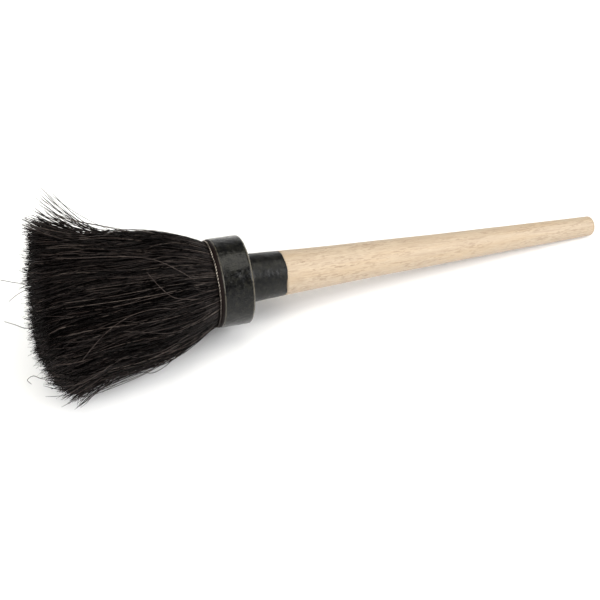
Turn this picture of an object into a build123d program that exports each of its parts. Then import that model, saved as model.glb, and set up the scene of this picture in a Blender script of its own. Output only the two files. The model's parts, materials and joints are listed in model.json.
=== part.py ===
from build123d import *
import os
from math import asin, atan2, cos, degrees, radians, sin, sqrt

# Round tar brush: a tapered turned handle, a stepped drawn-steel ferrule and a flared fibre knot.
#
# The brush lies on a flat surface, on the underside of its knot and on the end of its handle. +Z is
# up, the brush runs along +X from its fibre end to its handle end, and the origin is the centre of
# the base of its bounding box. Lengths are in millimetres.
#
# Every piece is built about the brush axis, which slopes down towards the handle end. A place along
# the axis is its distance behind the front of the ferrule's ring, so it is negative in the fibre
# and positive in the ferrule and the handle. A place across the axis is a radius.

# Ferrule: a wide ring with a rolled front lip, and a narrower conical neck.
RING_RADIUS = 30.0
RING_LENGTH = 20.0
SHEET = 0.8
LIP_LENGTH = 2.6
LIP_MOUTH_RADIUS = 28.0
LIP_ROLL = 1.8
SHOULDER_ROUND = 2.0
SHOULDER_FILLET = 4.5
NECK_ROOT_RADIUS = 16.8
NECK_END_RADIUS = 15.4
NECK_END = 47.0

# Handle: straight taper from the neck to a rounded end, with a spigot that fills the neck.
HANDLE_END = 295.5
HANDLE_END_RADIUS = 7.4
HANDLE_END_ROUND = 2.6
SPIGOT_SHOULDER = 24.5
SPIGOT_NOSE_RADIUS = 12.0

# Knot: fibre locks set in a compound plug, gripped by the lip and trimmed to a shallow dome.
ROOT_DEPTH = 8.0
KNOT_ROOT_RADIUS = 27.7
KNOT_RIM_RADIUS = 50.5
RIM_DISTANCE = 108.0
STRAIGHT_SHARE = 0.35
FLARE_POWER = 4
DOME_REACH = 118.5
DOME_RADIUS = 190.0
LOFT_DISTANCES = (0, 8, 18, 34, 58, 88, 120)

OUTER_LOCKS = 12
INNER_LOCKS = 6
LOCK_GAP = 0.3
OUTER_LOCK_INNER = 0.66
INNER_LOCK_OUTER = 0.64
INNER_LOCK_INNER = 0.30
CENTRE_LOCK_OUTER = 0.285
LOBE_SHARE = 0.4

# Binding wire round the mouth, and the nail that fixes the neck to the handle.
WIRE_RADIUS = 0.55
NAIL_POSITION = 36.0
NAIL_ANGLE = -40.0
NAIL_SHANK_RADIUS = 0.9
NAIL_HEAD_RADIUS = 2.2
NAIL_HEAD_HEIGHT = 0.6
NAIL_HEAD_SINK = 0.3
NAIL_LENGTH = 12.0
NAIL_POINT = 2.0

# Worked out from the dimensions above.
MOUTH = -LIP_LENGTH - 2 * WIRE_RADIUS
OUTER_PITCH = 360 / OUTER_LOCKS
INNER_PITCH = 360 / INNER_LOCKS
HALF_PITCH = radians(OUTER_PITCH / 2)


def knot_radius(distance):
    """Radius of the knot at a distance in front of the mouth: a quick flare that then eases."""
    share = distance / RIM_DISTANCE
    flare = STRAIGHT_SHARE * share + (1 - STRAIGHT_SHARE) * (1 - (1 - share) ** FLARE_POWER)
    return KNOT_ROOT_RADIUS + (KNOT_RIM_RADIUS - KNOT_ROOT_RADIUS) * flare


def rest_slope(distance):
    """Slope of the axis if the brush lay on its handle end and on the knot at this distance."""
    lobes_reach = ((1 - LOBE_SHARE) * cos(HALF_PITCH) + LOBE_SHARE) * knot_radius(distance)
    return atan2(lobes_reach - HANDLE_END_RADIUS, END_CONTACT - MOUTH + distance)


# Two lobes straddle the underside of the knot, and the brush rests on their lowest part.
END_CONTACT = HANDLE_END - HANDLE_END_ROUND
TILT = max(rest_slope(distance) for distance in range(int(RIM_DISTANCE)))

# The axis point at the front of the ring puts the lowest points on Z = 0 and centres the box on X.
DOME_CENTRE = DOME_RADIUS - DOME_REACH
FRONT_REACH = DOME_RADIUS - DOME_CENTRE * cos(TILT)
REAR_REACH = HANDLE_END * cos(TILT) + (HANDLE_END_RADIUS - HANDLE_END_ROUND) * sin(TILT)
RING_FRONT = Vector(
    (FRONT_REACH - REAR_REACH) / 2,
    0,
    HANDLE_END_RADIUS * cos(TILT) + END_CONTACT * sin(TILT),
)
ALONG = Vector(cos(TILT), 0, -sin(TILT))
ACROSS = Vector(0, 1, 0)
UP = Vector(sin(TILT), 0, cos(TILT))
BRUSH_AXIS = Axis(RING_FRONT, ALONG)

# Profiles are drawn on this plane: X is the place along the axis and Y is the radius.
PROFILE = Plane(origin=RING_FRONT, x_dir=ALONG, z_dir=(0, -1, 0))


def station(position, angle=0):
    """The plane across the axis at a place along it, its X axis turned by an angle in degrees."""
    x_dir = ACROSS * cos(radians(angle)) + UP * sin(radians(angle))
    return Plane(origin=RING_FRONT + ALONG * position, x_dir=x_dir, z_dir=ALONG)


def neck_radius(position):
    """Outer radius of the conical neck."""
    share = (position - RING_LENGTH) / (NECK_END - RING_LENGTH)
    return NECK_ROOT_RADIUS + share * (NECK_END_RADIUS - NECK_ROOT_RADIUS)


def lobe_radius(outer, angle):
    """Radius of a lobed outline, at an angle from the middle of a lobe."""
    centre = (1 - LOBE_SHARE) * outer
    return centre * cos(angle) + sqrt((LOBE_SHARE * outer) ** 2 - (centre * sin(angle)) ** 2)


def finish(piece, name):
    """Label a finished piece and write it as its own file."""
    piece.part.label = name
    export_step(piece.part, f"parts/{name}.step")


def make_nail():
    """Round nail through the neck into the handle, its domed head pressed into the sheet."""
    seat = neck_radius(NAIL_POSITION) - NAIL_HEAD_SINK
    plane = station(NAIL_POSITION, NAIL_ANGLE)
    with BuildPart() as ferrule_nail:
        with BuildSketch(plane):
            with BuildLine():
                Polyline(
                    (seat + NAIL_HEAD_HEIGHT, 0),
                    (seat - NAIL_LENGTH, 0),
                    (seat - NAIL_LENGTH + NAIL_POINT, NAIL_SHANK_RADIUS),
                    (seat, NAIL_SHANK_RADIUS),
                    (seat, NAIL_HEAD_RADIUS),
                )
                TangentArc(
                    (seat + NAIL_HEAD_HEIGHT, 0),
                    (seat, NAIL_HEAD_RADIUS),
                    tangent=(0, 1),
                )
            make_face()
        revolve(axis=Axis(plane.origin, plane.x_dir))
    finish(ferrule_nail, "ferrule_nail")
    return ferrule_nail


def make_ferrule(nail):
    """One drawn shell: rolled lip, ring, flat shoulder, fillet and conical neck."""
    back = RING_LENGTH - SHEET
    with BuildPart() as ferrule:
        with BuildSketch(PROFILE):
            with BuildLine():
                FilletPolyline(
                    (-LIP_LENGTH, LIP_MOUTH_RADIUS),
                    (-LIP_LENGTH, RING_RADIUS),
                    (RING_LENGTH, RING_RADIUS),
                    (RING_LENGTH, NECK_ROOT_RADIUS),
                    (NECK_END, NECK_END_RADIUS),
                    radius=[LIP_ROLL, SHOULDER_ROUND, SHOULDER_FILLET],
                )
                Line((NECK_END, NECK_END_RADIUS), (NECK_END, NECK_END_RADIUS - SHEET))
                FilletPolyline(
                    (NECK_END, NECK_END_RADIUS - SHEET),
                    (back, neck_radius(back) - SHEET),
                    (back, RING_RADIUS - SHEET),
                    (SHEET - LIP_LENGTH, RING_RADIUS - SHEET),
                    (SHEET - LIP_LENGTH, LIP_MOUTH_RADIUS),
                    radius=[SHOULDER_FILLET + SHEET, SHOULDER_ROUND - SHEET, LIP_ROLL - SHEET],
                )
                Line((SHEET - LIP_LENGTH, LIP_MOUTH_RADIUS), (-LIP_LENGTH, LIP_MOUTH_RADIUS))
            make_face()
        revolve(axis=BRUSH_AXIS)
        add(nail.part, mode=Mode.SUBTRACT)
    finish(ferrule, "ferrule")


def make_handle(nail):
    """Turned handle in one piece: nose in the compound, conical spigot, taper and rounded end."""
    with BuildPart() as handle:
        with BuildSketch(PROFILE):
            with BuildLine():
                Polyline(
                    (HANDLE_END, 0),
                    (ROOT_DEPTH, 0),
                    (ROOT_DEPTH, SPIGOT_NOSE_RADIUS),
                    (SPIGOT_SHOULDER, SPIGOT_NOSE_RADIUS),
                    (SPIGOT_SHOULDER, neck_radius(SPIGOT_SHOULDER) - SHEET),
                    (NECK_END, NECK_END_RADIUS - SHEET),
                    (NECK_END, NECK_END_RADIUS),
                )
                FilletPolyline(
                    (NECK_END, NECK_END_RADIUS),
                    (HANDLE_END, HANDLE_END_RADIUS),
                    (HANDLE_END, 0),
                    radius=HANDLE_END_ROUND,
                )
            make_face()
        revolve(axis=BRUSH_AXIS)
        add(nail.part, mode=Mode.SUBTRACT)
    finish(handle, "handle")


def make_setting_compound():
    """Cast plug behind the fibre roots, round the handle's nose."""
    back = RING_LENGTH - SHEET
    outer = RING_RADIUS - SHEET
    corner = SHOULDER_ROUND - SHEET
    with BuildPart() as setting_compound:
        with BuildSketch(PROFILE):
            with BuildLine():
                Polyline(
                    (ROOT_DEPTH, SPIGOT_NOSE_RADIUS),
                    (ROOT_DEPTH, outer),
                    (back - corner, outer),
                    (back, outer - corner),
                    (back, SPIGOT_NOSE_RADIUS),
                    close=True,
                )
            make_face()
        revolve(axis=BRUSH_AXIS)
    finish(setting_compound, "setting_compound")


def make_binding_wire():
    """Ring of wire round the knot, in front of the lip."""
    major = KNOT_ROOT_RADIUS + 2 * WIRE_RADIUS / sqrt(2)
    with BuildPart() as binding_wire:
        with BuildSketch(PROFILE):
            with Locations((-LIP_LENGTH - WIRE_RADIUS, major)):
                Circle(WIRE_RADIUS)
        revolve(axis=BRUSH_AXIS)
    finish(binding_wire, "binding_wire")


def draw_lock(plane, inner, outer, half_pitch, lobed):
    """Section of one lock: two arcs joined by straight sides, the outer arc swelling if lobed."""
    in_angle = half_pitch - asin(LOCK_GAP / inner)
    out_angle = half_pitch - asin(LOCK_GAP / outer)
    corner = lobe_radius(outer, out_angle) if lobed else outer
    in_x = inner * cos(in_angle)
    in_y = inner * sin(in_angle)
    out_x = corner * cos(out_angle)
    out_y = corner * sin(out_angle)
    with BuildSketch(plane) as section:
        with BuildLine():
            Line((in_x, in_y), (out_x, out_y))
            ThreePointArc((out_x, out_y), (outer, 0), (out_x, -out_y))
            Line((out_x, -out_y), (in_x, -in_y))
            ThreePointArc((in_x, -in_y), (inner, 0), (in_x, in_y))
        make_face()
    return section.sketch


def make_lock(name, angle, inner_share, outer_share, pitch, lobed):
    """One lock of fibre: a straight root inside the ring and a flared, domed free length."""
    half_pitch = radians(pitch / 2)
    with BuildPart() as lock:
        for distance in LOFT_DISTANCES:
            plane = station(MOUTH - distance, angle)
            radius = knot_radius(distance)
            add(draw_lock(plane, inner_share * radius, outer_share * radius, half_pitch, lobed))
        loft()
        plane = station(MOUTH, angle)
        inner_root = inner_share * KNOT_ROOT_RADIUS
        outer_root = outer_share * KNOT_ROOT_RADIUS
        add(draw_lock(plane, inner_root, outer_root, half_pitch, lobed))
        extrude(amount=ROOT_DEPTH - MOUTH, dir=ALONG)
        with Locations(RING_FRONT + ALONG * DOME_CENTRE):
            Sphere(DOME_RADIUS, mode=Mode.INTERSECT)
    finish(lock, name)


def make_centre_lock():
    """The round lock in the middle of the knot."""
    with BuildPart() as centre_lock:
        for distance in LOFT_DISTANCES:
            with BuildSketch(station(MOUTH - distance)):
                Circle(CENTRE_LOCK_OUTER * knot_radius(distance))
        loft()
        with BuildSketch(station(MOUTH)):
            Circle(CENTRE_LOCK_OUTER * KNOT_ROOT_RADIUS)
        extrude(amount=ROOT_DEPTH - MOUTH)
        with Locations(RING_FRONT + ALONG * DOME_CENTRE):
            Sphere(DOME_RADIUS, mode=Mode.INTERSECT)
    finish(centre_lock, "centre_lock")


def make_knot():
    """All the locks: a lobed outer ring, an inner ring and the centre."""
    for number in range(OUTER_LOCKS):
        angle = -90 + (number + 0.5) * OUTER_PITCH
        make_lock(f"outer_lock_{number + 1:02d}", angle, OUTER_LOCK_INNER, 1, OUTER_PITCH, True)
    for number in range(INNER_LOCKS):
        angle = -90 + number * INNER_PITCH
        name = f"inner_lock_{number + 1:02d}"
        make_lock(name, angle, INNER_LOCK_INNER, INNER_LOCK_OUTER, INNER_PITCH, False)
    make_centre_lock()


os.makedirs("parts", exist_ok=True)
nail = make_nail()
make_ferrule(nail)
make_handle(nail)
make_setting_compound()
make_binding_wire()
make_knot()
print(f"axis slope {degrees(TILT):.2f} degrees, ring front at {RING_FRONT}")
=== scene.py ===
"""Looks of a round tar brush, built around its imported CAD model.

The brush axis slopes in the XZ plane. Pieces are made in the brush's own frame and then put in the
row frame: X is the place along the axis, 0 at the front of the ferrule's ring and negative in the
fibre, Y is across and Z is square to both. All lengths are in metres.
"""
import json
import math

import bpy
import numpy as np
from mathutils import Matrix, Vector


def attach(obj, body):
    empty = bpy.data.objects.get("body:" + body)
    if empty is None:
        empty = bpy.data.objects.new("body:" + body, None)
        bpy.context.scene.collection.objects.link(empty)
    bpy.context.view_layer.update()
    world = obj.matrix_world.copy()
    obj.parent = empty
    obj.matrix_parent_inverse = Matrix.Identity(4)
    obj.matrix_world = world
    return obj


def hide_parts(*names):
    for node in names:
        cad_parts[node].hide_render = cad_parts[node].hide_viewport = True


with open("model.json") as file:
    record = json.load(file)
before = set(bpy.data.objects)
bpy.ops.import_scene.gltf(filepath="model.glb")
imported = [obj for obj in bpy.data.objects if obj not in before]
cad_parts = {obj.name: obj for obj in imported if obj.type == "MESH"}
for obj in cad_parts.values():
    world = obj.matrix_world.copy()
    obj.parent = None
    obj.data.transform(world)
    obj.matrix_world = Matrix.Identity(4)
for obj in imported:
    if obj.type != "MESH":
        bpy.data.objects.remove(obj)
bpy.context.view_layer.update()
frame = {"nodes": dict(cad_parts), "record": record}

MM = 0.001
TAU = 2 * math.pi


# ---------------------------------------------------------------- measures taken from the frame

MOUNTS = {mount["name"]: mount for mount in frame["record"]["mounts"]}
RING_MOUNT = MOUNTS["ferrule_ring"]
RING_RADIUS = RING_MOUNT["dims"]["r_mm"] * MM
BAND_LENGTH = RING_MOUNT["dims"]["length_mm"] * MM
ALONG = Vector(RING_MOUNT["axis"]).normalized()
ACROSS = Vector((0, 1, 0))
UP = ALONG.cross(ACROSS)
LIP_ROLL_LENGTH = 0.8 * MM
SHOULDER_ROUND = 2.0 * MM
RING_END = BAND_LENGTH - LIP_ROLL_LENGTH + SHOULDER_ROUND
RING_FRONT = Vector(RING_MOUNT["pos_m"]) - ALONG * (BAND_LENGTH / 2 - LIP_ROLL_LENGTH)
TO_ROW = Matrix((ALONG, ACROSS, UP)).transposed().to_4x4()
TO_ROW.translation = RING_FRONT
TURN = np.array(TO_ROW.to_3x3())
SHIFT = np.array(RING_FRONT)


def to_row(points):
    """Points of the brush frame in the row frame."""
    return points @ TURN.T + SHIFT


def to_brush(points):
    """Points of the row frame in the brush frame."""
    return (points - SHIFT) @ TURN


def node_points(node):
    """Vertices of a CAD node in the brush frame."""
    mesh = frame["nodes"][node].data
    points = np.empty(len(mesh.vertices) * 3)
    mesh.vertices.foreach_get("co", points)
    return to_brush(points.reshape(-1, 3))


def radii(points):
    """Distance of each point from the brush axis."""
    return np.hypot(points[..., 1], points[..., 2])


def end_radius(points, place):
    """Largest radius of the points at a place along the axis."""
    return radii(points[np.abs(points[:, 0] - place) < 0.1 * MM]).max()


OUTER_LOCKS = sorted(name for name in frame["nodes"] if name.startswith("outer_lock"))
INNER_LOCKS = sorted(name for name in frame["nodes"] if name.startswith("inner_lock"))
ferrule_points = node_points("ferrule")
handle_points = node_points("handle")
wire_points = node_points("binding_wire")
outer_points = np.concatenate([node_points(name) for name in OUTER_LOCKS])
centre_points = node_points("centre_lock")

LIP_FRONT = ferrule_points[:, 0].min()
NECK_END = ferrule_points[:, 0].max()
NECK_END_RADIUS = end_radius(ferrule_points, NECK_END)
HANDLE_START = handle_points[:, 0].min()
HANDLE_END = handle_points[:, 0].max()
WIRE_PLACE = (wire_points[:, 0].min() + wire_points[:, 0].max()) / 2
WIRE_THICKNESS = wire_points[:, 0].max() - wire_points[:, 0].min()
WIRE_RING_RADIUS = (radii(wire_points).min() + radii(wire_points).max()) / 2
MOUTH = wire_points[:, 0].min()
ROOT_PLACE = outer_points[:, 0].max()
ROOT_RADIUS = end_radius(outer_points, ROOT_PLACE)
RIM_RADIUS = radii(outer_points).max()
RIM_PLACE = outer_points[radii(outer_points).argmax(), 0]
DOME_TOP = centre_points[:, 0].min()
DOME_HEIGHT = RIM_PLACE - DOME_TOP
DOME_RADIUS = (RIM_RADIUS**2 + DOME_HEIGHT**2) / (2 * DOME_HEIGHT)
DOME_CENTRE = DOME_TOP + DOME_RADIUS


# ---------------------------------------------------------------- meshes

def add_object(name, data):
    """An object of the scene that shows a mesh, a light or a camera."""
    thing = bpy.data.objects.new(name, data)
    bpy.context.scene.collection.objects.link(thing)
    return thing


def mark_places(mesh, points):
    """Note where each vertex lies in the brush frame, for the shaders."""
    places = mesh.attributes.new("brush_pos", "FLOAT_VECTOR", "POINT")
    places.data.foreach_set("vector", points.ravel())


def make_piece(name, points, faces, material, nodes, tone=None):
    """A mesh piece from brush-frame points, riding on the brush and standing for CAD nodes.

    faces is a list of integer arrays, one per polygon size. tone is the shade of each vertex, which
    the shaders of the fibre and the wire read.
    """
    mesh = bpy.data.meshes.new(name)
    sizes = np.concatenate([np.full(len(group), group.shape[1]) for group in faces])
    starts = np.concatenate([[0], np.cumsum(sizes)[:-1]])
    corners = np.concatenate([group.ravel() for group in faces])
    mesh.vertices.add(len(points))
    mesh.vertices.foreach_set("co", to_row(points).ravel())
    mesh.loops.add(len(corners))
    mesh.loops.foreach_set("vertex_index", corners.astype(np.int32))
    mesh.polygons.add(len(sizes))
    mesh.polygons.foreach_set("loop_start", starts.astype(np.int32))
    mesh.polygons.foreach_set("use_smooth", np.full(len(sizes), True))
    mesh.update(calc_edges=True)
    mark_places(mesh, points)
    if tone is not None:
        tones = mesh.attributes.new("tone", "FLOAT", "POINT")
        tones.data.foreach_set("value", tone.ravel())
    mesh.materials.append(material)
    piece = add_object(name, mesh)
    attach(piece, "root")
    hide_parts(*nodes)


def grid_faces(rows, columns, closed=False):
    """Quads of a grid of points whose columns close on themselves, and its rows too if closed."""
    row = np.arange(rows if closed else rows - 1)[:, None]
    column = np.arange(columns)[None, :]
    row_after = (row + 1) % rows
    column_after = (column + 1) % columns
    quads = [
        row * columns + column,
        row_after * columns + column,
        row_after * columns + column_after,
        row * columns + column_after,
    ]
    return np.stack(quads, axis=-1).reshape(-1, 4)


def full_turn(count):
    """Evenly spaced angles round a full turn."""
    return np.linspace(0, TAU, count, endpoint=False)


def circle(angles):
    """Points of a unit circle at these angles, as places for a smooth field round the axis."""
    return np.stack([np.cos(angles), np.sin(angles), 0 * angles], axis=-1)


def arc(centre, radius, start, end, count):
    """Profile points on an arc, from one angle in degrees to another."""
    angles = np.radians(np.linspace(start, end, count))
    places = centre[0] + radius * np.cos(angles)
    return np.stack([places, centre[1] + radius * np.sin(angles)], axis=1)


def line(start, end, count):
    """Evenly spaced profile points between two points, which are left out."""
    shares = np.linspace(0, 1, count + 2)[1:-1, None]
    return np.array(start) + shares * (np.array(end) - np.array(start))


def turned(profile, around):
    """Points of a profile of (place, radius) turned about the axis: profile by around by 3."""
    angles = full_turn(around)
    place = np.repeat(profile[:, :1], around, axis=1)
    across = profile[:, 1:] * np.cos(angles)
    up = profile[:, 1:] * np.sin(angles)
    return np.stack([place, across, up], axis=-1)


NOISE_WAVES = 24


def smooth_noise(points, scale, seed):
    """Smooth random field over points, between about -1 and 1, with lumps of a given size."""
    rng = np.random.default_rng(seed)
    direction = rng.normal(size=(NOISE_WAVES, 3))
    direction /= np.linalg.norm(direction, axis=1, keepdims=True)
    direction *= (TAU / scale) * rng.uniform(0.5, 1.2, (NOISE_WAVES, 1))
    phase = rng.uniform(0, TAU, NOISE_WAVES)
    return np.sin(points @ direction.T + phase).sum(axis=-1) / math.sqrt(NOISE_WAVES)


def smooth_step(value, low, high):
    """0 below low, 1 above high and a smooth rise between."""
    share = np.clip((value - low) / (high - low), 0, 1)
    return share * share * (3 - 2 * share)


# ---------------------------------------------------------------- materials

class Shader:
    """A node material under construction, whose nodes get places in millimetres."""

    def __init__(self, name, roughness, **uniform):
        self.material = bpy.data.materials.new(name)
        self.material.use_nodes = True
        self.nodes = self.material.node_tree.nodes
        self.links = self.material.node_tree.links
        self.surface = self.nodes["Principled BSDF"]
        self.surface.inputs["Roughness"].default_value = roughness
        for socket, value in uniform.items():
            self.surface.inputs[socket.replace("_", " ")].default_value = value

    def add(self, kind, inputs=None, **settings):
        """A node of a kind, with its settings and its inputs, which are values or other sockets."""
        node = self.nodes.new("ShaderNode" + kind)
        for name, value in settings.items():
            setattr(node, name, value)
        for name, value in (inputs or {}).items():
            if isinstance(value, bpy.types.NodeSocket):
                self.links.new(value, node.inputs[name])
            else:
                node.inputs[name].default_value = value
        return node

    def attribute(self, name):
        """The node that reads a mesh attribute."""
        return self.add("Attribute", attribute_name=name)

    def place(self, stretch=(1, 1, 1)):
        """Where the surface lies in the brush frame, in millimetres, stretched along its axes."""
        scale = [factor / MM for factor in stretch]
        spot = self.attribute("brush_pos").outputs["Vector"]
        return self.add("Mapping", {"Vector": spot, "Scale": scale}).outputs["Vector"]

    def coordinates(self):
        """The X, Y and Z outputs of the place in the brush frame, in millimetres."""
        return self.add("SeparateXYZ", {"Vector": self.place()}).outputs

    def noise(self, vector, scale, detail=3.0, roughness=0.55, distortion=0.0):
        """Value of a noise texture."""
        inputs = {"Vector": vector, "Scale": scale, "Detail": detail, "Roughness": roughness,
                  "Distortion": distortion}
        return self.add("TexNoise", inputs).outputs["Fac"]

    def ramp(self, value, stops):
        """Colour ramp over a value, from (position, colour) stops."""
        node = self.add("ValToRGB", {"Fac": value})
        elements = node.color_ramp.elements
        while len(elements) < len(stops):
            elements.new(0.5)
        for element, (position, colour) in zip(elements, stops):
            element.position = position
            element.color = (*colour, 1)
        return node.outputs["Color"]

    def between(self, value, low, high, to_low=0.0, to_high=1.0, smooth=True):
        """A value mapped from one range to another and held at its ends."""
        kind = "SMOOTHSTEP" if smooth else "LINEAR"
        inputs = {"Value": value, "From Min": low, "From Max": high,
                  "To Min": to_low, "To Max": to_high}
        return self.add("MapRange", inputs, interpolation_type=kind).outputs["Result"]

    def math(self, operation, first, second):
        """Result of a math node."""
        node = self.add("Math", operation=operation)
        for socket, value in zip(node.inputs, (first, second)):
            if isinstance(value, bpy.types.NodeSocket):
                self.links.new(value, socket)
            else:
                socket.default_value = value
        return node.outputs["Value"]

    def mix(self, factor, first, second):
        """Colour mix of two colours by a factor."""
        node = self.add("Mix", data_type="RGBA")
        for index, value in ((0, factor), (6, first), (7, second)):
            if isinstance(value, bpy.types.NodeSocket):
                self.links.new(value, node.inputs[index])
            elif index == 0:
                node.inputs[index].default_value = value
            else:
                node.inputs[index].default_value = (*value, 1)
        return node.outputs[2]

    def set(self, socket, value):
        """Link a value to a socket of the surface shader."""
        self.links.new(value, self.surface.inputs[socket])

    def bump(self, height, distance):
        """Bump the surface by a height, whose full range is a distance in metres."""
        node = self.add("Bump", {"Height": height, "Distance": distance, "Strength": 1.0})
        self.set("Normal", node.outputs["Normal"])


GRAIN = (
    (0.28, (0.395, 0.30, 0.21)),
    (0.5, (0.445, 0.35, 0.25)),
    (0.75, (0.485, 0.392, 0.287)),
)
PATCH_COLOUR = (0.47, 0.35, 0.222)
# The next colour is painted shade for the underside of the handle.
UNDERSIDE_PAINTED_SHADE_COLOUR = (0.43, 0.337, 0.262)
STREAK_COLOUR = (0.53, 0.44, 0.32)
FLECK_COLOUR = (0.2, 0.13, 0.078)
RING_COLOUR = (0.30, 0.20, 0.115)
PITH = (0, 5.5, -3.0)
RING_RATE = 5.2
FLECKED_END = 170.0


def wood_material():
    """Bare pale hardwood: faint long grain, yellowish patches and short brown flecks along it, with
    painted shade making its underside darker.
    """
    wood = Shader("bare_hardwood", roughness=0.55)
    parts = wood.coordinates()
    streaks = wood.noise(wood.place((0.03, 0.6, 0.6)), 1.0, detail=4, distortion=0.3)
    blotches = wood.noise(wood.place((0.014, 0.12, 0.12)), 1.0, detail=3)
    patches = wood.between(blotches, 0.42, 0.7, 0.0, 0.55)
    colour = wood.mix(patches, wood.ramp(streaks, GRAIN), PATCH_COLOUR)
    # Painted shade: the underside of the handle, low in Z, is made darker and greyer.
    lower = wood.between(parts["Z"], 6.0, -12.0, 0.0, 0.35)
    colour = wood.mix(lower, colour, UNDERSIDE_PAINTED_SHADE_COLOUR)
    clusters = wood.noise(wood.place((0.035, 0.22, 0.22)), 1.0, detail=2)
    groups = wood.between(clusters, 0.4, 0.62, 0.2, 1.0)
    strokes = []
    for scale, low, strength in ((0.25, 0.55, 0.62), (0.12, 0.56, 0.6)):
        fine = wood.noise(wood.place((scale, 1.15, 1.15)), 1.0, detail=1, roughness=0.4)
        mask = wood.math("MULTIPLY", groups, strength)
        strokes.append(wood.math("MULTIPLY", wood.between(fine, low, low + 0.08), mask))
    near_neck = wood.between(parts["X"], FLECKED_END, NECK_END / MM, 0.6, 1.0)
    flecks = wood.math("MULTIPLY", wood.math("MAXIMUM", *strokes), near_neck)
    short = wood.noise(wood.place((0.16, 1.6, 1.6)), 1.0, detail=2)
    colour = wood.mix(wood.between(short, 0.56, 0.68, 0.0, 0.5), colour, STREAK_COLOUR)
    colour = wood.mix(flecks, colour, FLECK_COLOUR)
    pith = wood.add("VectorMath", {0: wood.place((0, 1, 1)), 1: PITH}, operation="DISTANCE")
    rings = wood.math("SINE", wood.math("MULTIPLY", pith.outputs["Value"], RING_RATE), 0)
    end_face = wood.between(parts["X"], HANDLE_END / MM - 0.9, HANDLE_END / MM - 0.1)
    ring_mask = wood.math("MULTIPLY", end_face, wood.between(rings, -0.2, 1.0, 0.1, 0.5))
    wood.set("Base Color", wood.mix(ring_mask, colour, RING_COLOUR))
    wood.set("Roughness", wood.between(streaks, 0.3, 0.7, 0.48, 0.62))
    fibres = wood.noise(wood.place((0.12, 2.2, 2.2)), 1.0, detail=3)
    wood.bump(wood.math("SUBTRACT", fibres, flecks), 0.05 * MM)
    return wood.material


PAINT_MOTTLE = (
    (0.35, (0.0015, 0.0015, 0.002)),
    (0.5, (0.006, 0.006, 0.0055)),
    (0.7, (0.016, 0.0155, 0.012)),
)
# Colours of worn paint with painted highlight on the edges, and of the painted reflection of the
# fibre on the lip.
WORN_AND_HIGHLIGHT_COLOUR = (0.17, 0.15, 0.11)
LIP_REFLECTION_COLOUR = (0.0065, 0.0035, 0.003)


def paint_material():
    """Glossy black dipped paint, duller on the neck and worn at the edges. The pale lines at the
    front edge and on the back shoulder are worn paint and painted highlights, and the lip roll
    carries a painted reflection of the dark brown fibre.
    """
    paint = Shader("dipped_black_paint", roughness=0.3)
    spot = paint.coordinates()["X"]
    colour = paint.ramp(paint.noise(paint.place(), 0.3, detail=5, roughness=0.65), PAINT_MOTTLE)
    patchy = paint.between(paint.noise(paint.place(), 0.45, detail=4), 0.3, 0.55, 0.25, 1.0)
    back = RING_END / MM
    # Pale lines at the front edge and on the back shoulder's round: partly worn paint, partly
    # painted highlights of those rounded edges.
    for low, high, strength in ((-0.45, 0.55, 0.4), (back - 1.7, back + 0.1, 0.65)):
        middle = (low + high) / 2
        rise = paint.between(spot, low, middle)
        fall = paint.between(spot, middle, high, 1.0, 0.0)
        edge = paint.math("MULTIPLY", paint.math("MULTIPLY", rise, fall), patchy)
        colour = paint.mix(paint.math("MULTIPLY", edge, strength), colour, WORN_AND_HIGHLIGHT_COLOUR)
    # Painted reflection: the lip roll is coloured dark red-brown for the fibre that it faces, and
    # made duller and less shiny there.
    lip_reflection = paint.between(spot, -0.75, -0.35, 1.0, 0.0)
    paint.set("Base Color", paint.mix(lip_reflection, colour, LIP_REFLECTION_COLOUR))
    streaks = paint.noise(paint.place((1, 0.6, 0.6)), 0.5, detail=4)
    smear = paint.between(streaks, 0.3, 0.7, 0.13, 0.27)
    neck = paint.between(spot, back, back + 4, 0.0, 0.14)
    dull = paint.math("MAXIMUM", neck, paint.math("MULTIPLY", lip_reflection, 0.3))
    paint.set("Roughness", paint.math("ADD", smear, dull))
    shine = paint.math("SUBTRACT", 0.23, paint.math("MULTIPLY", lip_reflection, 0.17))
    paint.set("Specular IOR Level", shine)
    lumps = paint.noise(paint.place(), 0.17, detail=2)
    specks = paint.between(paint.noise(paint.place(), 0.8, detail=2), 0.5, 0.75)
    relief = paint.math("ADD", lumps, paint.math("MULTIPLY", specks, 0.16))
    paint.bump(relief, 0.3 * MM)
    return paint.material


PITCH_COLOUR = (0.02, 0.013, 0.011)
TIN_COLOUR = (0.7, 0.62, 0.52)


def wire_material():
    """Dull pale tinned wire, with pitch between its strands, and darker towards its lower side."""
    wire = Shader("dull_tinned_wire", roughness=0.5, Metallic=0.2)
    parts = wire.coordinates()
    # The wire is paler towards the top of the ring and darker towards its lower side.
    across = wire.math("MULTIPLY", parts["Y"], 0.35)
    up = wire.math("MULTIPLY", parts["Z"], 0.94)
    paler_upwards = wire.between(wire.math("ADD", across, up), -12.0, 14.0, 0.1, 1.0)
    rust = wire.noise(wire.place(), 0.8, detail=4, roughness=0.7)
    spots = wire.between(rust, 0.4, 0.62, 0.1, 1.0)
    crest = wire.between(wire.attribute("tone").outputs["Fac"], 0.68, 0.97)
    pale = wire.math("MULTIPLY", wire.math("MULTIPLY", paler_upwards, spots), crest)
    wire.set("Base Color", wire.mix(pale, PITCH_COLOUR, TIN_COLOUR))
    wire.set("Roughness", wire.between(pale, 0.0, 1.0, 0.65, 0.4))
    wire.bump(wire.noise(wire.place(), 2.5, detail=2), 0.05 * MM)
    return wire.material


COMPOUND_COLOURS = ((0.3, (0.012, 0.008, 0.006)), (0.7, (0.045, 0.03, 0.022)))


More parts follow.
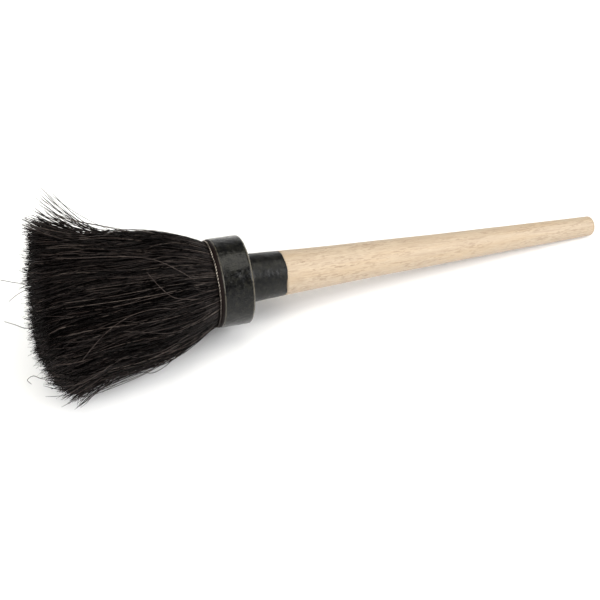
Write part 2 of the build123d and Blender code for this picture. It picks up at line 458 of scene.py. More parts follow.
def compound_material():
    """Dark cast pitch with a dull, slightly pitted face."""
    compound = Shader("cast_pitch", roughness=0.5)
    pits = compound.noise(compound.place(), 0.5, detail=5)
    compound.set("Base Color", compound.ramp(pits, COMPOUND_COLOURS))
    compound.set("Roughness", compound.between(pits, 0.3, 0.7, 0.35, 0.65))
    compound.bump(pits, 0.3 * MM)
    return compound.material


FIBRE_COLOURS = (
    (0.0, (0.0006, 0.0005, 0.0005)),
    (0.35, (0.0018, 0.0011, 0.001)),
    (0.6, (0.0085, 0.005, 0.0042)),
    (0.85, (0.036, 0.024, 0.0198)),
    (1.0, (0.1, 0.079, 0.066)),
)


def fibre_material():
    """Stiff black natural fibre: each has its own shade and a soft, broken shine.

    The fibre is a little browner at the mouth, and its colour is made darker towards the tips as
    painted shade of the cut end.
    """
    fibre = Shader("black_fibre", roughness=0.42)
    tone = fibre.attribute("tone").outputs["Fac"]
    dust = fibre.noise(fibre.place((0.12, 0.8, 0.8)), 1.0, detail=3)
    dusty = fibre.between(dust, 0.35, 0.75, -0.12, 0.16, smooth=False)
    along = fibre.coordinates()["X"]
    mouth = fibre.between(along, -60.0, MOUTH / MM, 0.0, 0.09)
    # Painted shade: the fibre is coloured darker over its last stretch, for the shade among the
    # tips of the cut end.
    tips = fibre.between(along, -119.0, -98.0, -0.1, 0.0)
    shade = fibre.math("ADD", fibre.math("ADD", tone, dusty), fibre.math("ADD", mouth, tips))
    fibre.set("Base Color", fibre.ramp(shade, FIBRE_COLOURS))
    shine = fibre.between(shade, 0.15, 0.9, 0.012, 0.42, smooth=False)
    fibre.set("Specular IOR Level", shine)
    fibre.set("Roughness", fibre.between(dust, 0.3, 0.7, 0.36, 0.55))
    fibre.bump(fibre.noise(fibre.place((0.5, 3, 3)), 1.0, detail=2), 0.04 * MM)
    return fibre.material


# ---------------------------------------------------------------- ferrule, handle and wire

SHEET = 0.8 * MM
SHOULDER_FILLET = 4.5 * MM
NECK_ROOT_RADIUS = 16.8 * MM
BEAD = 1.3 * MM
BEAD_TUCK = 0.9
BEAD_RADIUS = RING_RADIUS - 0.2 * MM
CREASE_DEPTH = 0.5 * MM
CREASE_PLACE = -0.15 * MM
BAND_START = 0.2 * MM
BAND_START_ROUND = 0.06 * MM
NECK_EDGE = 0.4 * MM
FERRULE_AROUND = 360

# Lumps of the paint, with their height and size in millimetres and their seed, and waves of its
# edge on the wood, with their height in millimetres, their length in radians and their seed.
PAINT_LUMPS = ((0.05, 9, 11), (0.02, 3, 12))
EDGE_WAVES = ((0.55, 0.9, 13), (0.22, 0.3, 14))
EDGE_LIMIT = 1.2 * MM
EDGE_LENGTH = 6 * MM


def neck_radius(place):
    """Outer radius of the conical neck."""
    share = (place - RING_END) / (NECK_END - RING_END)
    return NECK_ROOT_RADIUS + share * (NECK_END_RADIUS - NECK_ROOT_RADIUS)


def ferrule_profile():
    """Closed outline: bead, crease, band, shoulder, fillet and neck, then back along the inside."""
    fillet_place = RING_END + SHOULDER_FILLET
    fillet = (fillet_place, neck_radius(fillet_place) + SHOULDER_FILLET)
    shoulder = (RING_END - SHOULDER_ROUND, RING_RADIUS - SHOULDER_ROUND)
    bead = (LIP_FRONT + BEAD, BEAD_RADIUS - BEAD)
    neck_start = (fillet_place, neck_radius(fillet_place))
    neck_inside = (NECK_END, NECK_END_RADIUS - SHEET)
    band_start = (BAND_START, RING_RADIUS - BAND_START_ROUND)
    outline = [
        arc(bead, BEAD, 215, 62, 14),
        np.array([(CREASE_PLACE, RING_RADIUS - CREASE_DEPTH), band_start]),
        line((BAND_START, RING_RADIUS), (shoulder[0], RING_RADIUS), 36),
        arc(shoulder, SHOULDER_ROUND, 90, 0, 10),
        line((RING_END, shoulder[1]), (RING_END, fillet[1]), 10),
        arc(fillet, SHOULDER_FILLET, 180, 268, 12),
        line(neck_start, (NECK_END, NECK_END_RADIUS), 40),
        arc((NECK_END - NECK_EDGE, NECK_END_RADIUS - NECK_EDGE), NECK_EDGE, 80, 0, 5),
        np.array([neck_inside]),
        line(neck_inside, (fillet_place, neck_start[1] - SHEET), 3),
        arc(fillet, SHOULDER_FILLET + SHEET, 268, 180, 6),
        np.array([(RING_END - SHEET, RING_RADIUS - SHEET), (bead[0], RING_RADIUS - SHEET)]),
        np.array([(bead[0], bead[1] - BEAD_TUCK * BEAD)]),
    ]
    return np.concatenate(outline)


def make_ferrule(material):
    """The painted shell, with a lumpy coat and a wavy paint edge where it meets the wood."""
    points = turned(ferrule_profile(), FERRULE_AROUND)
    radius = radii(points)
    lumps = 0
    for height, size, seed in PAINT_LUMPS:
        lumps = lumps + height * MM * smooth_noise(points, size * MM, seed)
    points[..., 1:] *= ((radius + lumps) / radius)[..., None]
    wave = 0
    for height, length, seed in EDGE_WAVES:
        wave = wave + height * MM * smooth_noise(circle(full_turn(FERRULE_AROUND)), length, seed)
    edge = smooth_step(points[..., 0], NECK_END - EDGE_LENGTH, NECK_END)
    points[..., 0] += edge * np.clip(wave, -EDGE_LIMIT, EDGE_LIMIT)
    faces = [grid_faces(len(points), FERRULE_AROUND, closed=True)]
    points = points.reshape(-1, 3)
    make_piece("ferrule_shell", points, faces, material, ["ferrule"])


# The handle's end, which stands a little past the CAD one, and how hollow its taper is. Then the
# spigot, and the step in which the paint laps over the wood.
HANDLE_END_RADIUS = 7.4 * MM
END_ROUND = 1.3 * MM
END_EXTRA = 1.2 * MM
END_CROWN = 0.1 * MM
HOLLOW_TAPER = 0.05
SPIGOT_SHOULDER = 24.5 * MM
NOSE_BEVEL = 0.4
PAINT_LAP = 0.2 * MM
PAINT_CLEARANCE = 0.02 * MM
HANDLE_AROUND = 192

# Unevenness of the wood, with its height in millimetres, its stretch, its size in millimetres and
# its seed: long swellings and fine turning marks. It fades out towards the neck.
UNEVENNESS = ((0.06, (0.25, 1, 1), 14, 21), (0.012, (1, 0.2, 0.2), 1.6, 22))
UNEVEN_FROM = NECK_END + 1 * MM
UNEVEN_FULL = NECK_END + 6 * MM


def make_handle(material):
    """The turned handle: slightly hollow in its taper, faint turning marks and a rounded end."""
    nose = end_radius(handle_points, HANDLE_START)
    inside = NECK_END - PAINT_LAP
    taper_start = NECK_END_RADIUS - PAINT_CLEARANCE
    end = HANDLE_END + END_EXTRA
    rim = arc((end - END_ROUND, HANDLE_END_RADIUS - END_ROUND), END_ROUND, 88, 0, 10)
    hidden = np.array([
        (HANDLE_START, NOSE_BEVEL * nose),
        (HANDLE_START, nose),
        (SPIGOT_SHOULDER, nose),
        (SPIGOT_SHOULDER, neck_radius(SPIGOT_SHOULDER) - SHEET),
        (inside, NECK_END_RADIUS - SHEET),
        (inside, taper_start),
    ])
    taper = line((NECK_END, taper_start), rim[0], 180)
    crown = line(rim[-1], (end + END_CROWN, 0), 4)
    points = turned(np.concatenate([hidden, taper, rim, crown]), HANDLE_AROUND)
    radius = radii(points)
    uneven = 0
    for height, stretch, size, seed in UNEVENNESS:
        uneven = uneven + height * MM * smooth_noise(points * np.array(stretch), size * MM, seed)
    uneven *= smooth_step(points[..., 0], UNEVEN_FROM, UNEVEN_FULL)
    share = np.clip((points[..., 0] - NECK_END) / (end - NECK_END), 0, 1)
    hollow = 1 - 4 * HOLLOW_TAPER * share * (1 - share)
    points[..., 1:] *= (hollow * (radius + uneven) / radius)[..., None]
    first_ring = np.arange(HANDLE_AROUND)
    caps = np.array([first_ring, len(points) * HANDLE_AROUND - 1 - first_ring])
    faces = [grid_faces(len(points), HANDLE_AROUND), caps]
    points = points.reshape(-1, 3)
    make_piece("handle_wood", points, faces, material, ["handle"])


def tube_points(paths, radius, sides, spin):
    """Rings of points round each path: paths by steps by sides by 3."""
    forward = np.gradient(paths, axis=1)
    forward /= np.linalg.norm(forward, axis=-1, keepdims=True)
    guide = np.stack([0 * spin, np.cos(spin), np.sin(spin)], axis=-1)[:, None, :]
    first = guide - (guide * forward).sum(-1, keepdims=True) * forward
    first /= np.linalg.norm(first, axis=-1, keepdims=True)
    second = np.cross(forward, first)
    angles = full_turn(sides)[:, None]
    ring = first[:, :, None, :] * np.cos(angles) + second[:, :, None, :] * np.sin(angles)
    return paths[:, :, None, :] + radius[:, :, None, None] * ring


def tube_faces(count, steps, sides, first_vertex=0):
    """Side quads and two end caps for each of count tubes."""
    one = grid_faces(steps, sides)
    starts = first_vertex + np.arange(count) * steps * sides
    quads = (starts[:, None, None] + one[None]).reshape(-1, 4)
    root = starts[:, None] + np.arange(sides)
    tip = starts[:, None] + (steps - 1) * sides + np.arange(sides)[::-1]
    return quads, np.concatenate([root, tip])


WIRE_LIFT = 0.25 * MM
WIRE_STEPS = 1400
WIRE_TWISTS = 46
WIRE_SIDES = 6
STRAND_RADIUS = 0.23 * WIRE_THICKNESS
LAY_RADIUS = 0.3 * WIRE_THICKNESS
WIRE_WANDER = 0.14 * MM


def make_wire(material):
    """Two thin strands twisted together and drawn tight round the mouth of the knot."""
    turn = full_turn(WIRE_STEPS)
    wander = WIRE_WANDER * smooth_noise(circle(turn), 0.4, seed=31)
    angles = full_turn(WIRE_SIDES)[:, None]
    points = []
    crests = []
    for phase in (0, math.pi):
        twist = WIRE_TWISTS * turn + phase
        place = WIRE_PLACE + wander + LAY_RADIUS * np.cos(twist)
        radius = WIRE_RING_RADIUS + WIRE_LIFT + LAY_RADIUS * np.sin(twist)
        path = np.stack([place, radius * np.cos(turn), radius * np.sin(turn)], axis=-1)
        forward = np.roll(path, -1, axis=0) - np.roll(path, 1, axis=0)
        forward /= np.linalg.norm(forward, axis=-1, keepdims=True)
        first = np.cross(forward, [1.0, 0, 0])
        first /= np.linalg.norm(first, axis=-1, keepdims=True)
        second = np.cross(forward, first)
        ring = first[:, None] * np.cos(angles) + second[:, None] * np.sin(angles)
        points.append((path[:, None] + STRAND_RADIUS * ring).reshape(-1, 3))
        crests.append(np.repeat(0.5 + 0.5 * np.sin(twist), WIRE_SIDES))
    one = grid_faces(WIRE_STEPS, WIRE_SIDES, closed=True)
    faces = [np.concatenate([one, one + WIRE_STEPS * WIRE_SIDES])]
    points, tone = np.concatenate(points), np.concatenate(crests)
    make_piece("twisted_wire", points, faces, material, ["binding_wire"], tone)


# ---------------------------------------------------------------- fibre

FIBRE_RADIUS = 0.2 * MM
FLOOR_GAP = 0.4 * MM
FLOOR_SOFTNESS = 2.5 * MM
LIP_DEPTH = 6 * MM
CORE_SHORT = 7 * MM
PACKED_START = 60 * MM
STRAIGHT_SHARE = 0.35
FLARE_POWER = 4
FULL_SIDE = math.radians(224)
FULLNESS = 0.055
SLIMNESS = 0.055
BULGE = 0.8 * MM
BULGE_START = 3 * MM
BULGE_LENGTH = 20 * MM
RIM_DISTANCE = MOUTH - RIM_PLACE
FULLNESS_RISE = 2.5
DOME_ROUNDS = 6
ROOT_STATIONS = np.array([-LIP_DEPTH, -0.2 * MM, 1.5 * MM, 4 * MM])
FIELD_RADIUS = 30 * MM
FIELD_STRETCH = 0.4
FIELD_LUMPS = 20 * MM

# Sways of a single fibre, sideways and outwards: the mean size of each in millimetres is twice the
# number given, and the turns are those between the mouth and the rim. Then the sways that the
# fibres share, and the scatter of a fibre with the power at which it grows towards the tip.
SLOW_TURNS = (0.6, 2.2)
QUICK_TURNS = (2.5, 5.0)
RISE_SWAYS = ((0.35, SLOW_TURNS), (0.1, QUICK_TURNS))
SIDE_SWAYS = ((0.65, SLOW_TURNS), (0.16, QUICK_TURNS))
SHARED_RISE = 0.9 * MM
SHARED_SIDE = 2.2 * MM
SPREADS = ((0.8, 1.5), (1.9, 10))
WANDERING_SHARE = 0.18
WANDERING = 0.15
STEADY = 0.035

# Noise seeds of what neighbouring fibres share.
SIDE_SEED, RISE_SEED, LENGTH_SEED = 41, 42, 43


def flare(distance):
    """Radius of the knot at a distance in front of the mouth, where it bulges over the wire."""
    share = np.clip(distance / RIM_DISTANCE, 0, 1.2)
    rise = STRAIGHT_SHARE * share + (1 - STRAIGHT_SHARE) * (1 - (1 - share) ** FLARE_POWER)
    free = np.clip(distance, 0, None)
    bulge = BULGE * (1 - np.exp(-free / BULGE_START)) * np.exp(-free / BULGE_LENGTH)
    return ROOT_RADIUS + (RIM_RADIUS - ROOT_RADIUS) * rise + bulge


def fullness(angle, distance):
    """Share of the knot's radius that the fibre fills on each side of the brush."""
    ramp = np.clip(FULLNESS_RISE * distance / RIM_DISTANCE, 0, 1)
    return 1 + (FULLNESS * np.cos(angle - FULL_SIDE) - SLIMNESS) * ramp


# Corners where the outer fibre splays: the angle round the axis and its reach to both sides in
# degrees, the distance in front of the mouth where it starts, how far the tips stand out and how
# much shorter they are, in millimetres.
SPLAYS = ((43, 34, 74, 5.0, 4.0), (214, 50, 60, 6.0, 13.0))
SPLAY_END = 118 * MM

# The fibre of one side bends round towards the lower corner: by how many radians, at which angle
# and with which reach in degrees, and with which power of the distance.
SWEEP = 0.24
SWEEP_SIDE = 168
SWEEP_REACH = 80
SWEEP_POWER = 2.2


def corner_share(angle, side, reach):
    """1 at a corner of the knot, falling to 0 at its reach to both sides."""
    return smooth_step(np.cos(angle - math.radians(side)), math.cos(math.radians(reach)), 1)


def knot_radius(depth, angle, distance):
    """Radius of the fibre at a relative depth, an angle and a distance in front of the mouth."""
    radius = depth * flare(distance) * fullness(angle, distance)
    for side, reach, start, stand_out, _ in SPLAYS:
        share = corner_share(angle, side, reach) * smooth_step(distance, start * MM, SPLAY_END)
        radius = radius + stand_out * MM * share * depth**3
    return radius


def shortening(depth, angle):
    """How much shorter the fibre is at the corners of the knot."""
    lost = [corner_share(angle, side, reach) * cut for side, reach, _, _, cut in SPLAYS]
    return sum(lost) * MM * depth**4


def stations(end, steps):
    """Distances at the steps of fibres with these end distances, close together at the mouth."""
    last = ROOT_STATIONS[-1]
    shares = np.linspace(0, 1, steps - len(ROOT_STATIONS) + 1)[1:]
    free = last + shares * (end[:, None] - last)
    root = np.broadcast_to(ROOT_STATIONS, (len(end), len(ROOT_STATIONS)))
    return np.concatenate([root, free], axis=1)


def dome_distance(depth):
    """Distance in front of the mouth at which a fibre at a relative depth meets the dome."""
    distance = np.full_like(depth, RIM_DISTANCE)
    for _ in range(DOME_ROUNDS):
        radius = depth * flare(distance)
        distance = MOUTH - DOME_CENTRE + np.sqrt(DOME_RADIUS**2 - radius**2)
    return distance


def off_floor(points):
    """Points of the brush frame, with those that would pass below the floor laid flat on it."""
    row = to_row(points)
    sunk = np.minimum(row[..., 2] - FLOOR_GAP - FLOOR_SOFTNESS, 0)
    laid = FLOOR_GAP + FLOOR_SOFTNESS * np.exp(sunk / FLOOR_SOFTNESS)
    row[..., 2] = np.where(sunk < 0, laid, row[..., 2])
    return to_brush(row)


def knot_field(angle, distance, seed):
    """Sway shared by neighbouring fibres: a smooth field over the knot's side."""
    spot = [FIELD_RADIUS * np.cos(angle), FIELD_RADIUS * np.sin(angle), FIELD_STRETCH * distance]
    return smooth_noise(np.stack(np.broadcast_arrays(*spot), axis=-1), FIELD_LUMPS, seed)


def sway(free, amplitude, turns, rng):
    """Sideways sway of paths that are held still at the mouth, one row for each path."""
    count = len(amplitude)
    phase = rng.uniform(0, TAU, (count, 1))
    rate = rng.uniform(*turns, (count, 1)) * TAU
    swing = np.sin(rate * free + phase) - np.sin(phase)
    return amplitude[:, None] * swing * np.minimum(free * 3, 1) ** 0.7


def in_brush(distance, radius, side, turn):
    """Brush-frame points off the floor, from a distance, a radius, a step aside and an angle."""
    across = radius * np.cos(turn) - side * np.sin(turn)
    up = radius * np.sin(turn) + side * np.cos(turn)
    return off_floor(np.stack([MOUTH - distance, across, up], axis=-1))


def fibre_paths(depth, angle, distance, rng):
    """Wavy paths of fibres that have these depths and angles at the mouth and these stations."""
    count = len(depth)
    free = np.clip(distance, 0, None) / RIM_DISTANCE
    angle = angle[:, None]
    radius = knot_radius(depth[:, None], angle, distance)
    for size, turns in RISE_SWAYS:
        radius += sway(free, rng.gamma(2.0, size * MM, count), turns, rng)
    radius += knot_field(angle, distance, RISE_SEED) * SHARED_RISE * free
    side = 0
    for size, turns in SIDE_SWAYS:
        side = side + sway(free, rng.gamma(2.0, size * MM, count), turns, rng)
    side += knot_field(angle, distance, SIDE_SEED) * SHARED_SIDE * free
    spread = 0
    for size, power in SPREADS:
        spread = spread + rng.normal(size=(count, 2, 1)) * size * MM * free[:, None] ** power
    wandering = np.where(rng.random(count) < WANDERING_SHARE, WANDERING, STEADY)
    turn = angle + (wandering * rng.normal(size=count))[:, None] * free
    turn += SWEEP * corner_share(angle, SWEEP_SIDE, SWEEP_REACH) * free**SWEEP_POWER
    return in_brush(distance, radius + spread[:, 0], side + spread[:, 1], turn)


FIBRE_SIDES = 3
TIP_TAPER = (1, 0.9, 0.4)


def fibre_tubes(paths, thickness, rng):
    """Points of closed tubes along the paths, thinner at their tips."""
    count, steps = paths.shape[:2]
    taper = np.interp(np.arange(steps), [0, steps - 2, steps - 1], TIP_TAPER)
    radius = thickness[:, None] * taper
    return tube_points(paths, radius, FIBRE_SIDES, rng.uniform(0, TAU, count)).reshape(-1, 3)


TONE_SHAPE = (0.9, 1.5)
TONE_LIMIT = 0.9
GREY_SHARE = 0.007
GREY_TONES = (0.85, 1.0)


def fibre_tones(count, rng):
    """A shade for each fibre: mostly black, some brown and a few grey."""
    tone = rng.beta(*TONE_SHAPE, count) * TONE_LIMIT
    grey = rng.random(count) < GREY_SHARE
    return np.where(grey, rng.uniform(*GREY_TONES, count), tone)


CORE_ROWS = 18
CORE_COLUMNS = 26
CORE_MARGIN = 0.01
CORE_RIDGE = 0.35 * MM


def lock_core(low, high, angle, half_pitch, rng):
    """Closed dark body inside a lock, ridged like packed fibre and shorter than the fibres."""
    turn = angle + np.linspace(-1, 1, CORE_COLUMNS)[None, :] * (half_pitch - CORE_MARGIN)
    walls = []
    for depth, ridge in ((high, CORE_RIDGE), (low, 0)):
        reach = dome_distance(np.array(depth)) - shortening(depth, turn[0]) - CORE_SHORT
        distance = np.linspace(0 * reach - LIP_DEPTH / 2, reach, CORE_ROWS)
        radius = knot_radius(depth, turn, distance)
        radius = radius + ridge * rng.uniform(-1, 1, (1, CORE_COLUMNS))
        walls.append(in_brush(distance, radius, 0, turn))
    width = 2 * CORE_COLUMNS
    loop = np.concatenate([walls[0], walls[1][:, ::-1]], axis=1)
    left = np.arange(CORE_COLUMNS - 1)
    root = np.stack([left, left + 1, width - 2 - left, width - 1 - left], axis=-1)
    tip = (CORE_ROWS - 1) * width + root[:, ::-1]
    return loop.reshape(-1, 3), np.concatenate([grid_faces(CORE_ROWS, width), root, tip])


LONG_STEPS = 18
PACKED_STEPS = 8
END_SCATTER = 1.9 * MM
END_LUMPS = 1.5 * MM
CUT_SHARE = 0.15
CUT_RANGE = (1, 14)
THICKNESS_RANGE = (0.7, 1.3)


def make_lock(node, name, material, depths, counts, seed):
    """One lock: a dark core, long fibres round it, and the ends of those packed inside it.

    depths are the core's inner and outer limits and the lock's own outer limit, as shares of the
    knot's radius. counts are the numbers of long and packed fibres.
    """
    rng = np.random.default_rng(seed)
    middle = node_points(node).mean(axis=0)
    angle = math.atan2(middle[2], middle[1])
    neighbours = {"outer": len(OUTER_LOCKS), "inner": len(INNER_LOCKS), "centre": 1}
    half_pitch = math.pi / neighbours[node.split("_")[0]]
    low, core, high = depths
    points, faces = lock_core(low, core, angle, half_pitch, rng)
    parts, quads, caps = [points], [faces], []
    tones = [np.zeros(len(points))]
    long_kind = (counts[0], (core, high), LONG_STEPS, False)
    packed_kind = (counts[1], (low, core), PACKED_STEPS, True)
    for count, limits, steps, packed in (long_kind, packed_kind):
        depth = np.sqrt(rng.uniform(limits[0] ** 2, limits[1] ** 2, count))
        around = angle + rng.uniform(-1, 1, count) * half_pitch
        end = dome_distance(depth) - shortening(depth, around)
        end += rng.normal(size=count) * END_SCATTER
        end += END_LUMPS * knot_field(around, 0 * depth, LENGTH_SEED)
        end -= np.where(rng.random(count) < CUT_SHARE, rng.uniform(*CUT_RANGE, count) * MM, 0)
        if packed:
            distance = np.linspace(PACKED_START, end, steps, axis=1)
        else:
            distance = stations(end, steps)
        paths = fibre_paths(depth, around, distance, rng)
        thickness = FIBRE_RADIUS * rng.uniform(*THICKNESS_RANGE, count)
        side, cap = tube_faces(count, steps, FIBRE_SIDES, sum(map(len, parts)))
        tone = fibre_tones(count, rng)
        parts.append(fibre_tubes(paths, thickness, rng))
        tones.append(np.repeat(tone, steps * FIBRE_SIDES))
        quads.append(side)
        caps.append(cap)
    faces = [np.concatenate(quads), np.concatenate(caps)]
    points, tone = np.concatenate(parts), np.concatenate(tones)
    make_piece(name, points, faces, material, [node], tone)


# Rings of locks: their name, their nodes, the depths and counts that make_lock takes, and the first
# of their seeds.
LOCK_RINGS = (
    ("outer", OUTER_LOCKS, (0.66, 0.87, 1.0), (460, 170), 100),
    ("inner", INNER_LOCKS, (0.30, 0.62, 0.65), (20, 420), 200),
)
CENTRE_DEPTHS = (0.02, 0.28, 0.3)
CENTRE_COUNTS = (20, 320)


def make_knot(material):
    """All the locks of fibre."""
    for ring, nodes, depths, counts, seed in LOCK_RINGS:
        for number, node in enumerate(nodes):
            name = f"fibre_{ring}_{number + 1:02d}"
            make_lock(node, name, material, depths, counts, seed + number)
    make_lock("centre_lock", "fibre_centre", material, CENTRE_DEPTHS, CENTRE_COUNTS, 300)


# Groups of loose hairs: how many, the angle round the axis in degrees and its spread, the distance
# in front of the mouth where they leave the knot, the distance and radius of their tips in
# millimetres, the bend of their rise, the size of their curls and their thickness.
LOOSE_HAIRS = (
    (9, 45, 3, (45, 62), (90, 100), (71, 79), 1.6, 0.8, 1.7),
    (15, 44, 5, (50, 75), (93, 103), (60, 71), 1.5, 0.8, 1.7),
    (34, 44, 8, (38, 75), (90, 106), (52, 62), 1.3, 0.9, 1.4),
    (150, 42, 15, (60, 92), (99, 113), (50, 60), 1.5, 0.9, 1.5),
    (8, 222, 4, (6, 30), (76, 90), (54, 60), 0.8, 1.0, 1.2),
    (28, 221, 8, (45, 80), (88, 101), (55, 65), 1.2, 1.1, 1.6),
    (80, 213, 16, (65, 92), (94, 106), (52, 62), 1.4, 2.0, 1.4),
    (110, 192, 32, (84, 98), (103, 115), (38, 51), 1.0, 2.6, 1.4),
    (90, 150, 90, (10, 60), (92, 112), (46, 50), 1.0, 1.3, 1.0),
    (26, 260, 75, (10, 60), (90, 110), (47, 51), 1.0, 1.3, 1.0),
)
LOOSE_STEPS = 26
LOOSE_DEPTH = 0.985
LOOSE_TURNS = (0.5, 1.6)
LARGEST_CURL = 1.6
DRIFT = 0.05
LOOSE_THICKNESS = (0.6, 1.1)
PALE_SHARE = 0.25
PALE_TONES = (0.8, 1)
DARK_TONES = (0.1, 0.7)

# Single curled hairs, each through places (distance in front of the mouth and radius in
# millimetres, degrees round).
CURLS = (
    (
        (-5, 27, 220), (12, 34, 222), (29, 43.5, 223),
        (38, 49, 224), (46, 51.5, 225), (53, 49.5, 224),
    ),
    ((60, 20, 70), (105, 18, 60), (113, 17.5, 50), (120, 19, 46), (130, 22.5, 44)),
    ((60, 12, 70), (104, 14, 60), (113, 14, 50), (120, 12, 46), (126.5, 8, 44)),
    ((60, 8, 200), (108, 9, 215), (118, 10, 220), (125, 6.5, 224), (131, 3.5, 224)),
    (
        (2, 28.6, 149), (11, 32.6, 149.5), (18, 36.5, 148),
        (31, 41.5, 142), (39, 43.6, 131), (45, 45.2, 119),
    ),
    (
        (8, 31, 140), (24, 39, 120), (40, 43.8, 108),
        (60, 47, 104), (82, 49.6, 103), (96, 50.6, 101),
    ),
    (
        (30, 41, 152), (45, 45.3, 148), (60, 47.6, 150),
        (74, 49.3, 158), (84, 50.5, 168), (90, 51, 176),
    ),
    (
        (70, 44, 215), (100, 44, 215), (113, 43, 220),
        (119, 40, 224), (123, 42, 226), (121, 45, 226),
    ),
)
CURL_WEIGHT = 1.35
CURL_TONE = 0.84


def curve_through(knots, steps):
    """Smooth path through places in polar terms, evenly stepped."""
    distance, radius, degrees = np.array(knots, dtype=float).T
    angle = np.radians(degrees)
    places = [MOUTH - distance * MM, radius * MM * np.cos(angle), radius * MM * np.sin(angle)]
    places = np.stack(places, axis=1)
    before_first = 2 * places[0] - places[1]
    after_last = 2 * places[-1] - places[-2]
    padded = np.concatenate([[before_first], places, [after_last]])
    at = np.linspace(0, len(places) - 1.0001, steps)
    cell = at.astype(int)
    t = (at - cell)[:, None]
    before, first, second, after = (padded[cell + shift] for shift in range(4))
    slope = 0.5 * (second - before)
    next_slope = 0.5 * (after - first)
    curve = (2 * t**3 - 3 * t**2 + 1) * first + (t**3 - 2 * t**2 + t) * slope
    return curve + (3 * t**2 - 2 * t**3) * second + (t**3 - t**2) * next_slope


def loose_path(group, rng):
    """Path of one hair of a group: it lies on the knot, then stands away from it, and curls."""
    _, angle, spread, leave, tip_distance, tip_radius, bend, curl, _ = group
    base = math.radians(angle + rng.normal() * spread)
    leaving = rng.uniform(*leave) * MM
    reach = rng.uniform(*tip_distance) * MM
    rise = rng.uniform(*tip_radius) * MM
    distance = stations(np.array([reach]), LOOSE_STEPS)[0]
    free = np.clip(distance, 0, None) / reach
    lying = knot_radius(LOOSE_DEPTH, base, distance)
    away = np.clip((distance - leaving) / (reach - leaving), 0, 1) ** bend
    radius = lying + away * (rise - lying[-1])
    amplitude = np.full(2, curl * MM * min(rng.gamma(2.0, 0.45), LARGEST_CURL))
    rising, aside = sway(free[None, :].repeat(2, axis=0), amplitude, LOOSE_TURNS, rng)
    turn = base + rng.normal() * DRIFT * free
    return in_brush(distance, radius + rising, aside, turn)


def make_loose_hairs(material):
    """Hairs that stand away from the knot: tufts and frizz, and single curled ones."""
    rng = np.random.default_rng(400)
    paths = []
    thickness = []
    for group in LOOSE_HAIRS:
        count, weight = group[0], group[-1]
        for _ in range(count):
            paths.append(loose_path(group, rng))
            thickness.append(FIBRE_RADIUS * weight * rng.uniform(*LOOSE_THICKNESS))
    for knots in CURLS:
        paths.append(off_floor(curve_through(knots, LOOSE_STEPS)))
        thickness.append(FIBRE_RADIUS * CURL_WEIGHT)
    count = len(paths)
    points = fibre_tubes(np.array(paths), np.array(thickness), rng)
    pale = rng.random(count) < PALE_SHARE
    tone = np.where(pale, rng.uniform(*PALE_TONES, count), rng.uniform(*DARK_TONES, count))
    tone[-len(CURLS):] = CURL_TONE
    tone = np.repeat(tone, LOOSE_STEPS * FIBRE_SIDES)
    faces = tube_faces(count, LOOSE_STEPS, FIBRE_SIDES)
    make_piece("loose_hairs", points, faces, material, OUTER_LOCKS[:1], tone)


# ---------------------------------------------------------------- floor, lights and camera

FLOOR_REACH = 0.9
FLOOR_RINGS = 24
FLOOR_AROUND = 96


def make_floor():
    """A plain white round floor."""
    reach = np.linspace(0, FLOOR_REACH, FLOOR_RINGS + 1)[1:, None]
    spokes = full_turn(FLOOR_AROUND)[None, :]
    corners = [reach * np.cos(spokes), reach * np.sin(spokes), 0 * reach * spokes]
    corners = np.stack(corners, axis=-1).reshape(-1, 3)
    fan = [[0, 1 + spoke, 1 + (spoke + 1) % FLOOR_AROUND] for spoke in range(FLOOR_AROUND)]
    faces = 1 + grid_faces(FLOOR_RINGS, FLOOR_AROUND)
    mesh = bpy.data.meshes.new("floor")
    mesh.from_pydata([[0, 0, 0]] + corners.tolist(), [], fan + faces.tolist())
    floor = Shader("white_floor", roughness=0.9, Base_Color=(0.96, 0.96, 0.96, 1))
    mesh.materials.append(floor.material)
    piece = add_object("floor", mesh)


def add_area(name, position, target, size, power, colour=(1, 1, 1)):
    """A soft rectangular light at a position, turned to a target."""
    data = bpy.data.lights.new(name, "AREA")
    data.shape = "RECTANGLE"
    data.size, data.size_y = size
    data.energy = power
    data.color = colour
    light = add_object(name, data)
    light.location = position
    light.rotation_euler = (Vector(target) - Vector(position)).to_track_quat("-Z", "Y").to_euler()


WORLD_FADE = {"From Min": 0.2, "From Max": 0.5, "To Min": 1.0, "To Max": 0.06}


def make_world():
    """A studio that is white below and round the horizon and dark higher up."""
    world = bpy.data.worlds.new("studio")
    world.use_nodes = True
    nodes, links = world.node_tree.nodes, world.node_tree.links
    direction = nodes.new("ShaderNodeTexCoord").outputs["Generated"]
    split = nodes.new("ShaderNodeSeparateXYZ")
    links.new(direction, split.inputs["Vector"])
    fade = nodes.new("ShaderNodeMapRange")
    fade.interpolation_type = "SMOOTHSTEP"
    links.new(split.outputs["Z"], fade.inputs["Value"])
    for socket, value in WORLD_FADE.items():
        fade.inputs[socket].default_value = value
    links.new(fade.outputs["Result"], nodes["Background"].inputs["Strength"])
    nodes["Background"].inputs["Color"].default_value = (1, 1, 1, 1)
    bpy.context.scene.world = world


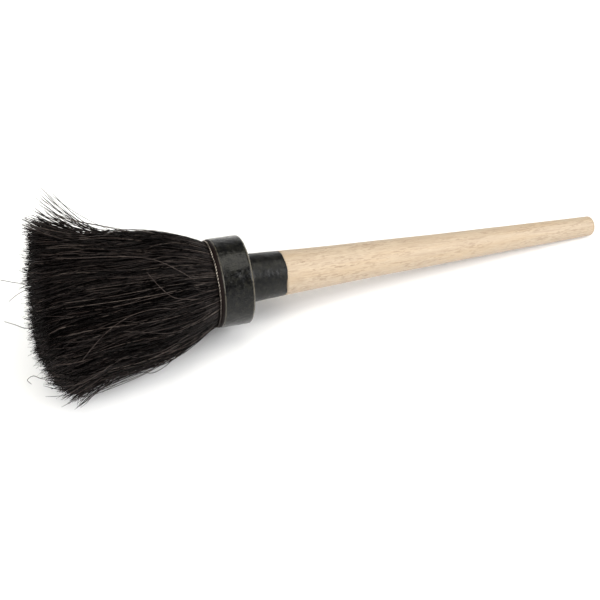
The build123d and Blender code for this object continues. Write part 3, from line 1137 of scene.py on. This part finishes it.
LIT_SPOT = (-0.05, 0, 0.03)
SIDE_BOX_PLACES = {"left_box": (-1.3, -0.8, 1.1), "right_box": (1.3, -0.8, 1.1)}
SIDE_BOX_SIZE = (1.3, 1.1)
SIDE_BOX_POWER = 26
OVERHEAD_PLACE = (-0.05, 0.08, 1.2)
OVERHEAD_SIZE = (1.2, 0.95)
OVERHEAD_POWER = 12
OVERHEAD_COLOUR = (1, 0.98, 0.9)


def light_scene():
    """Large softboxes to both sides of the viewer and a dimmer, warmer one overhead."""
    make_world()
    for name, place in SIDE_BOX_PLACES.items():
        add_area(name, place, LIT_SPOT, SIDE_BOX_SIZE, SIDE_BOX_POWER)
    below = (*OVERHEAD_PLACE[:2], 0)
    size, power, colour = OVERHEAD_SIZE, OVERHEAD_POWER, OVERHEAD_COLOUR
    add_area("overhead_box", OVERHEAD_PLACE, below, size, power, colour)
    bpy.context.scene.view_settings.view_transform = "Standard"


# The camera's turn and its height above the level, its lens in millimetres, and where the ring's
# front lies from it, in metres.
CAMERA_TURN = math.radians(-18.6)
CAMERA_HEIGHT = math.radians(46.2)
FOCAL_LENGTH = 51.0
RING_DISTANCE = 0.5666
RING_RIGHT = -0.0571
RING_UP = 0.0111


def add_camera():
    """A level camera that looks down on the brush, from the fibre end's side."""
    away = Vector((
        -math.sin(CAMERA_TURN) * math.cos(CAMERA_HEIGHT),
        math.cos(CAMERA_TURN) * math.cos(CAMERA_HEIGHT),
        -math.sin(CAMERA_HEIGHT),
    ))
    right = Vector((math.cos(CAMERA_TURN), math.sin(CAMERA_TURN), 0))
    above = right.cross(away)
    data = bpy.data.cameras.new("camera")
    data.lens = FOCAL_LENGTH
    data.clip_start = 0.01
    camera = add_object("camera", data)
    camera.location = RING_FRONT - right * RING_RIGHT - above * RING_UP - away * RING_DISTANCE
    camera.rotation_euler = away.to_track_quat("-Z", "Y").to_euler()
    bpy.context.scene.camera = camera


def recoat(node, material):
    """Give a CAD node that stays a node material, and the places that its shader reads."""
    mesh = frame["nodes"][node].data
    mark_places(mesh, node_points(node))
    mesh.materials.clear()
    mesh.materials.append(material)


# ---------------------------------------------------------------- the scene

add_camera()
paint = paint_material()
make_ferrule(paint)
make_handle(wood_material())
make_wire(wire_material())
recoat("setting_compound", compound_material())
recoat("ferrule_nail", paint)
fibre = fibre_material()
make_knot(fibre)
make_loose_hairs(fibre)
make_floor()
light_scene()
